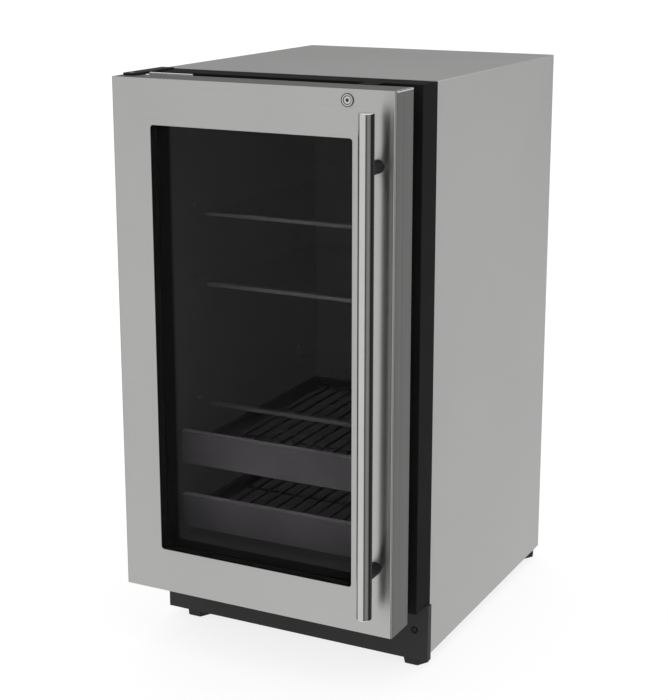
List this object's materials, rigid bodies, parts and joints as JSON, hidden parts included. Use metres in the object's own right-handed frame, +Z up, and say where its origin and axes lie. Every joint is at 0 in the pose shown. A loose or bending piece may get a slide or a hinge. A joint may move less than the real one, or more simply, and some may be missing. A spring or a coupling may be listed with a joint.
{
  "type": "undercounter refrigerator",
  "caption": "Undercounter refrigerator: stainless cabinet with a left-hinged framed glass door, bar handle, lock, glass shelves and slide-out racks.",
  "frame": {"origin": "centre of the whole bounding box seen from above, on the floor under the feet", "axes": "+Z up; the door faces -Y and the back faces +Y; +X is to the right as one faces the door, hinges at -X"},
  "size_m": [0.458, 0.6753, 0.8866],
  "materials": {
    "stainless_cabinet": "brushed",
    "stainless_door": "brushed",
    "stainless_polished": "polished",
    "galvanised": "satin",
    "black_steel": "satin",
    "kick_black": "satin",
    "foam": "matte",
    "liner": "satin",
    "collar_black": "satin",
    "compressor_black": "gloss",
    "rubber": "matte",
    "coil_black": "satin",
    "fan_black": "satin",
    "motor_steel": "satin",
    "tray_plastic": "satin",
    "copper": "satin",
    "aluminium": "satin",
    "light_lens": "satin",
    "gloss_black": "gloss",
    "tinted_glass": "gloss",
    "inner_glass": "gloss",
    "spacer_black": "satin",
    "bezel_black": "satin",
    "gasket": "matte",
    "post_black": "satin",
    "hinge_steel": "satin",
    "bushing_nylon": "satin",
    "lock_chrome": "polished",
    "screw_black": "satin",
    "screw_bright": "polished",
    "shelf_glass": "gloss",
    "trim_grey": "satin",
    "rack_grey": "satin",
    "rack_wire": "satin",
    "foot_black": "satin"
  },
  "bodies": {
    "cabinet": {"base_pan": "black_steel", "compressor": "compressor_black", "compressor_grommets": "rubber", "condenser_coil": "coil_black", "condenser_fan_motor": "motor_steel", "condenser_fan_shroud": "fan_black", "control_panel": "gloss_black", "cord_gland": "rubber", "drain_pan": "tray_plastic", "evaporator_coil": "aluminium", "evaporator_cover": "liner", "evaporator_fan_motor": "motor_steel", "foam_insulation": "foam", "front_collar": "collar_black", "hinge_pins": "motor_steel", "hinge_screws": "screw_black", "inner_liner": "liner", "light_strip": "light_lens", "liner_supports": "liner", "lock_strike": "collar_black", "lower_hinge_bracket": "black_steel", "outer_wrapper": "stainless_cabinet", "panel_screws": "screw_black", "rear_cover": "galvanised", "rear_panel": "galvanised", "refrigerant_tubing": "copper", "toe_kick": "kick_black", "upper_hinge_bracket": "black_steel"},
    "door": {"door_skin": "stainless_door", "door_core": "foam", "outer_glass": "tinted_glass", "inner_glass": "inner_glass", "glass_spacer": "spacer_black", "window_bezel": "bezel_black", "door_inner_frame": "bezel_black", "door_gasket": "gasket", "handle_bar": "stainless_polished", "handle_posts": "post_black", "door_hinge_plate": "hinge_steel", "hinge_bushings": "bushing_nylon", "lock_body": "lock_chrome", "door_plate_screws": "screw_bright"},
    "lock_core": {"lock_plug": "lock_chrome", "lock_cam": "motor_steel"},
    "condenser_fan_wheel": {"condenser_fan": "fan_black"},
    "evaporator_fan_wheel": {"evaporator_fan": "fan_black"},
    "shelf_upper": {"shelf_upper_glass": "shelf_glass", "shelf_upper_trim": "trim_grey"},
    "shelf_middle": {"shelf_middle_glass": "shelf_glass", "shelf_middle_trim": "trim_grey"},
    "shelf_lower": {"shelf_lower_glass": "shelf_glass", "shelf_lower_trim": "trim_grey"},
    "rack_upper": {"rack_upper_front": "rack_grey", "rack_upper_tray": "rack_wire"},
    "rack_lower": {"rack_lower_front": "rack_grey", "rack_lower_tray": "rack_wire"},
    "leg_front_left": {"foot_front_left": "foot_black"},
    "leg_front_right": {"foot_front_right": "foot_black"},
    "leg_rear_left": {"foot_rear_left": "foot_black"},
    "leg_rear_right": {"foot_rear_right": "foot_black"}
  },
  "joints": [
    {"name": "door_hinge", "type": "hinge", "parent": "cabinet", "child": "door", "pos_m": [-0.212, -0.25935, 0.5], "axis": [0, 0, -1], "range_deg": [0, 110]},
    {"name": "lock_turn", "type": "hinge", "parent": "door", "child": "lock_core", "pos_m": [0.1526, -0.25535, 0.8677], "axis": [0, 1, 0], "range_deg": [0, 90]},
    {"name": "condenser_fan_spin", "type": "hinge", "parent": "cabinet", "child": "condenser_fan_wheel", "pos_m": [-0.06, -0.00535, 0.063], "axis": [0, 1, 0], "continuous": true},
    {"name": "evaporator_fan_spin", "type": "hinge", "parent": "cabinet", "child": "evaporator_fan_wheel", "pos_m": [0, 0.28165, 0.735], "axis": [0, 1, 0], "continuous": true},
    {"name": "shelf_upper_slide", "type": "slide", "parent": "cabinet", "child": "shelf_upper", "axis": [0, -1, 0], "range_m": [0, 0.1]},
    {"name": "shelf_middle_slide", "type": "slide", "parent": "cabinet", "child": "shelf_middle", "axis": [0, -1, 0], "range_m": [0, 0.1]},
    {"name": "shelf_lower_slide", "type": "slide", "parent": "cabinet", "child": "shelf_lower", "axis": [0, -1, 0], "range_m": [0, 0.1]},
    {"name": "rack_upper_slide", "type": "slide", "parent": "cabinet", "child": "rack_upper", "axis": [0, -1, 0], "range_m": [0, 0.018]},
    {"name": "rack_lower_slide", "type": "slide", "parent": "cabinet", "child": "rack_lower", "axis": [0, -1, 0], "range_m": [0, 0.018]},
    {"name": "foot_front_left_height", "type": "slide", "parent": "cabinet", "child": "leg_front_left", "axis": [0, 0, -1], "range_m": [0, 0.02]},
    {"name": "foot_front_right_height", "type": "slide", "parent": "cabinet", "child": "leg_front_right", "axis": [0, 0, -1], "range_m": [0, 0.02]},
    {"name": "foot_rear_left_height", "type": "slide", "parent": "cabinet", "child": "leg_rear_left", "axis": [0, 0, -1], "range_m": [0, 0.02]},
    {"name": "foot_rear_right_height", "type": "slide", "parent": "cabinet", "child": "leg_rear_right", "axis": [0, 0, -1], "range_m": [0, 0.02]}
  ]
}
